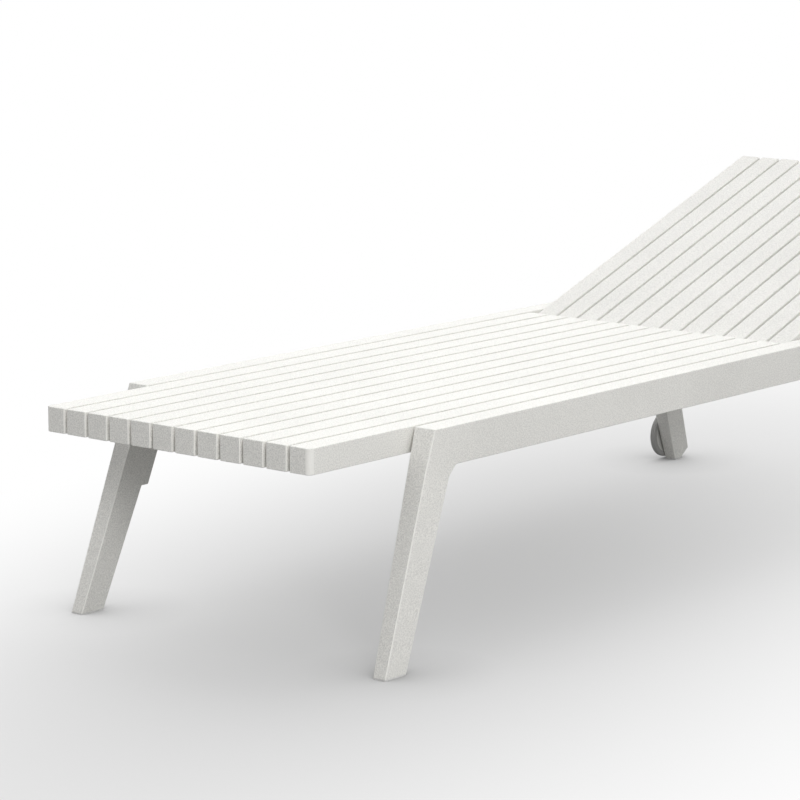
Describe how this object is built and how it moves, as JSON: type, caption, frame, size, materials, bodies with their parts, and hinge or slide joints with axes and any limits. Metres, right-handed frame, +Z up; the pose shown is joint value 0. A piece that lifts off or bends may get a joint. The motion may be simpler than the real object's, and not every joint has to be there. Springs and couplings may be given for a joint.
{
  "type": "chaise lounge",
  "caption": "Low slatted aluminium sun lounger with a raised hinged back held by a toothed prop, cantilevered foot end and two transport wheels.",
  "frame": {"origin": "on the floor, midway along the bed and midway between the side frames", "axes": "+Y from the foot end to the head end, +X to the right-hand side, +Z up"},
  "size_m": [0.667, 1.98, 0.5931],
  "materials": {
    "white_powder_coat": "white fine-textured powder coat",
    "grey_nylon": "moulded, matt",
    "zinc_steel": "zinc plated",
    "grey_rubber": "matt"
  },
  "bodies": {
    "base": {"side_frame_left": "white_powder_coat", "side_frame_right": "white_powder_coat", "seat_slat_01": "white_powder_coat", "seat_slat_02": "white_powder_coat", "seat_slat_03": "white_powder_coat", "seat_slat_04": "white_powder_coat", "seat_slat_05": "white_powder_coat", "seat_slat_06": "white_powder_coat", "seat_slat_07": "white_powder_coat", "seat_slat_08": "white_powder_coat", "seat_slat_09": "white_powder_coat", "seat_slat_10": "white_powder_coat", "seat_slat_11": "white_powder_coat", "seat_slat_12": "white_powder_coat", "seat_rail_1": "white_powder_coat", "seat_rail_2": "white_powder_coat", "seat_rail_3": "white_powder_coat", "seat_rail_4": "white_powder_coat", "head_rail": "white_powder_coat", "bumper_left": "grey_rubber", "bumper_right": "grey_rubber", "rack_left": "zinc_steel", "rack_right": "zinc_steel", "hinge_pin_left": "zinc_steel", "hinge_pin_right": "zinc_steel", "front_glide_left": "grey_nylon", "front_glide_right": "grey_nylon", "rear_glide_left": "grey_nylon", "rear_glide_right": "grey_nylon", "beam_cap_left": "white_powder_coat", "beam_cap_right": "white_powder_coat", "wheel_axle_left": "zinc_steel", "wheel_axle_right": "zinc_steel"},
    "back": {"back_slat_01": "white_powder_coat", "back_slat_02": "white_powder_coat", "back_slat_03": "white_powder_coat", "back_slat_04": "white_powder_coat", "back_slat_05": "white_powder_coat", "back_slat_06": "white_powder_coat", "back_slat_07": "white_powder_coat", "back_slat_08": "white_powder_coat", "back_slat_09": "white_powder_coat", "back_slat_10": "white_powder_coat", "back_slat_11": "white_powder_coat", "back_slat_12": "white_powder_coat", "back_rail_lower": "white_powder_coat", "back_rail_middle": "white_powder_coat", "back_rail_upper": "white_powder_coat", "hinge_bush_left": "grey_nylon", "hinge_bush_right": "grey_nylon", "prop_bracket_left": "zinc_steel", "prop_bracket_right": "zinc_steel", "prop_pin_left": "zinc_steel", "prop_pin_right": "zinc_steel"},
    "prop": {"prop_bail": "white_powder_coat"},
    "wheel_assembly_left": {"wheel_left": "grey_nylon", "tyre_left": "grey_rubber"},
    "wheel_assembly_right": {"wheel_right": "grey_nylon", "tyre_right": "grey_rubber"}
  },
  "joints": [
    {"name": "back_recline", "type": "hinge", "parent": "base", "child": "back", "pos_m": [0, 0.29, 0.345], "axis": [1, 0, 0], "range_deg": [-19.56, 40.44]},
    {"name": "prop_swing", "type": "hinge", "parent": "back", "child": "prop", "pos_m": [0, 0.54303, 0.40943], "axis": [1, 0, 0], "range_deg": [-77.01, 37.4]},
    {"name": "wheel_spin_left", "type": "hinge", "parent": "base", "child": "wheel_assembly_left", "pos_m": [-0.32801, 0.76784, 0.049], "axis": [1, 0, 0], "continuous": true},
    {"name": "wheel_spin_right", "type": "hinge", "parent": "base", "child": "wheel_assembly_right", "pos_m": [0.32801, 0.76784, 0.049], "axis": [1, 0, 0], "continuous": true}
  ],
  "couplings": [
    {"joint": "prop_swing", "follows": "back_recline", "ratio": -1.8969}
  ]
}
